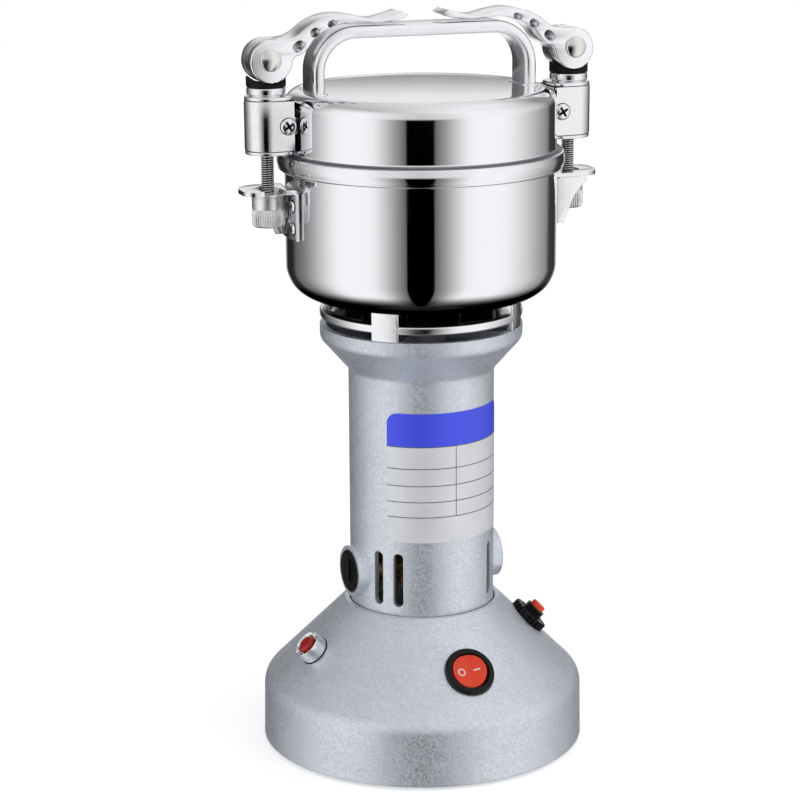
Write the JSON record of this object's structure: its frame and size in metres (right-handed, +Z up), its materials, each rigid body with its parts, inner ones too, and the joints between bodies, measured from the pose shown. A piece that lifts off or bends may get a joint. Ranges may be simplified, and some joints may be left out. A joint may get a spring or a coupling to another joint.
{
  "type": "electric grain mill",
  "caption": "Swing-type grain mill: domed steel grinding bowl with a clamped lid, strap handle and over-centre side latches, on a vented motor column over a round conical base.",
  "frame": {"origin": "centre of the base on the surface it stands on", "axes": "+Z up along the motor shaft, +X through the right-hand latch, -Y towards the switch and label"},
  "size_m": [0.17, 0.15, 0.3404],
  "materials": {
    "hammertone": "silver-grey metallic paint with a fine sparkle",
    "mirror_steel": "mirror-polished stainless sheet",
    "polished_aluminium": "bright polish",
    "bright_steel": "polished, with dark reflections",
    "nickel": "dull nickel plate",
    "knurled_zinc": "satin plate",
    "machine_steel": "plain machined",
    "blade_steel": "ground and honed",
    "cast_alloy": "as cast",
    "lamination_steel": "stacked sheet",
    "copper": "enamelled copper",
    "brass": "plain brass",
    "carbon": "pressed carbon",
    "black_plastic": "semi-gloss black",
    "black_rubber": "matt black",
    "white_silicone": "translucent white",
    "red_plastic": "glossy orange red",
    "red_lens": "clear deep red",
    "chrome": "bright chrome",
    "label_film": "satin film, blue head over silver grey"
  },
  "bodies": {
    "root": {"base_shell": "hammertone", "motor_housing": "hammertone", "bowl": "mirror_steel", "vent_ring": "polished_aluminium", "latch_brackets": "bright_steel", "bracket_screws": "bright_steel", "base_plate": "machine_steel", "plate_screws": "machine_steel", "housing_screws": "machine_steel", "bowl_screws": "machine_steel", "upper_bearing": "machine_steel", "lower_bearing": "machine_steel", "brush_springs": "machine_steel", "bearing_bridge": "cast_alloy", "stator_core": "lamination_steel", "field_coils": "copper", "brush_holders": "brass", "carbon_brushes": "carbon", "brush_caps": "black_plastic", "switch_housing": "black_plastic", "reset_breaker": "black_plastic", "reset_nut": "black_plastic", "cord_gland": "black_plastic", "rubber_feet": "black_rubber", "shaft_seal": "black_rubber", "lamp_lens": "red_lens", "lamp_bezel": "chrome", "rating_label": "label_film"},
    "rotor": {"rotor_shaft": "machine_steel", "armature_core": "lamination_steel", "armature_windings": "copper", "commutator": "copper", "cooling_fan": "black_plastic", "lower_blade": "blade_steel", "upper_blade": "blade_steel", "blade_spacer": "machine_steel", "blade_nut": "machine_steel"},
    "rocker": {"switch_rocker": "red_plastic"},
    "button": {"reset_button": "red_plastic"},
    "lid": {"lid_shell": "mirror_steel", "lid_gasket": "white_silicone", "handle": "polished_aluminium", "handle_screws": "machine_steel", "latch_lugs": "bright_steel"},
    "left_sleeve_body": {"left_sleeve": "bright_steel", "left_hinge_screws": "bright_steel", "left_washers": "bright_steel", "left_saddle_pad": "black_rubber"},
    "left_rod_body": {"left_tie_rod": "nickel"},
    "left_lever_body": {"left_lever": "polished_aluminium", "left_lever_pin": "nickel"},
    "left_nut_body": {"left_thumb_nut": "knurled_zinc"},
    "right_sleeve_body": {"right_sleeve": "bright_steel", "right_hinge_screws": "bright_steel", "right_washers": "bright_steel", "right_saddle_pad": "black_rubber"},
    "right_rod_body": {"right_tie_rod": "nickel"},
    "right_lever_body": {"right_lever": "polished_aluminium", "right_lever_pin": "nickel"},
    "right_nut_body": {"right_thumb_nut": "knurled_zinc"}
  },
  "joints": [
    {"name": "rotor_spin", "type": "hinge", "parent": "root", "child": "rotor", "pos_m": [0, 0, 0.15], "axis": [0, 0, 1], "continuous": true},
    {"name": "power_switch", "type": "hinge", "parent": "root", "child": "rocker", "pos_m": [0.00238, -0.05453, 0.04609], "axis": [-0.0308, 0.7064, 0.7071], "range_deg": [0, 14]},
    {"name": "reset_press", "type": "slide", "parent": "root", "child": "button", "axis": [-0.689, 0.1591, -0.7071], "range_m": [0, 0.0016], "stiffness_N_per_m": 300, "springref_m": -0.002},
    {"name": "lid_turn", "type": "hinge", "parent": "root", "child": "lid", "pos_m": [0, 0, 0.275], "axis": [0, 0, 1], "range_deg": [0, 20]},
    {"name": "left_latch_swing", "type": "hinge", "parent": "lid", "child": "left_sleeve_body", "pos_m": [-0.0648, 0, 0.2928], "axis": [0, 1, 0], "range_deg": [0, 4.5]},
    {"name": "left_rod_slide", "type": "slide", "parent": "left_sleeve_body", "child": "left_rod_body", "axis": [0, 0, -1], "range_m": [0, 0.0015]},
    {"name": "left_lever_lift", "type": "hinge", "parent": "left_rod_body", "child": "left_lever_body", "pos_m": [-0.0718, 0, 0.3215], "axis": [0, -1, 0], "range_deg": [0, 150]},
    {"name": "left_nut_turn", "type": "hinge", "parent": "left_rod_body", "child": "left_nut_body", "pos_m": [-0.0718, 0, 0.255], "axis": [0, 0, 1], "continuous": true},
    {"name": "right_latch_swing", "type": "hinge", "parent": "lid", "child": "right_sleeve_body", "pos_m": [0.0648, 0, 0.2928], "axis": [0, -1, 0], "range_deg": [0, 4.5]},
    {"name": "right_rod_slide", "type": "slide", "parent": "right_sleeve_body", "child": "right_rod_body", "axis": [0, 0, -1], "range_m": [0, 0.0015]},
    {"name": "right_lever_lift", "type": "hinge", "parent": "right_rod_body", "child": "right_lever_body", "pos_m": [0.0718, 0, 0.3215], "axis": [0, 1, 0], "range_deg": [0, 150]},
    {"name": "right_nut_turn", "type": "hinge", "parent": "right_rod_body", "child": "right_nut_body", "pos_m": [0.0718, 0, 0.255], "axis": [0, 0, 1], "continuous": true}
  ],
  "couplings": [
    {"joint": "left_latch_swing", "follows": "left_lever_lift", "ratio": 0.03},
    {"joint": "left_rod_slide", "follows": "left_lever_lift", "m_per_rad": 0.00057296},
    {"joint": "right_latch_swing", "follows": "right_lever_lift", "ratio": 0.03},
    {"joint": "right_rod_slide", "follows": "right_lever_lift", "m_per_rad": 0.00057296}
  ]
}
